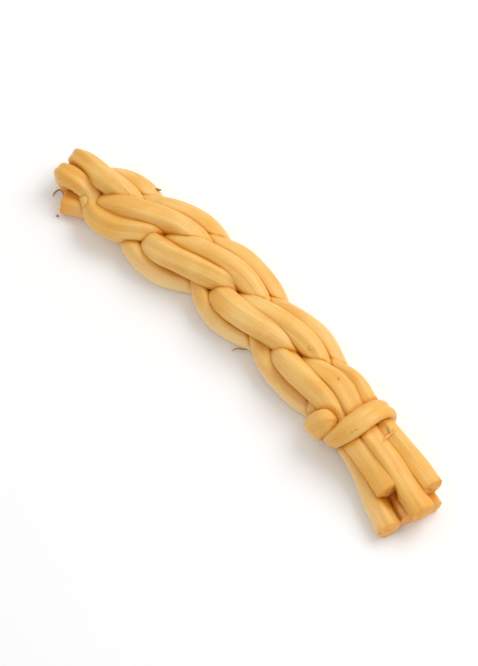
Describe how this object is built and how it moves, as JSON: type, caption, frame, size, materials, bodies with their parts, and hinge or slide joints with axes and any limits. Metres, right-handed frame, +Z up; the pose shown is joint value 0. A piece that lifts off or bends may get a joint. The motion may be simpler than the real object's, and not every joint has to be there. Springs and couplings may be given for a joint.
{
  "type": "braided string cheese",
  "caption": "Smoked string cheese braided from soft double strands, folded over at one end and tied near the other, where the cut ends fan out.",
  "frame": {"origin": "under the middle of the braid's box, on the table", "axes": "+X along the braid towards its loose cut ends, +Y across it, +Z up"},
  "size_m": [0.1446, 0.0352, 0.0162],
  "materials": {
    "strand": "soft satin cheese, pale amber, darker in the creases and at the cut ends",
    "binding": "soft satin cheese, pale amber"
  },
  "bodies": {
    "root": {"folded_strand_upper": "strand", "folded_strand_lower": "strand", "stub_strand_inner": "strand", "stub_strand_outer": "strand", "binding_strand": "binding"}
  },
  "joints": []
}
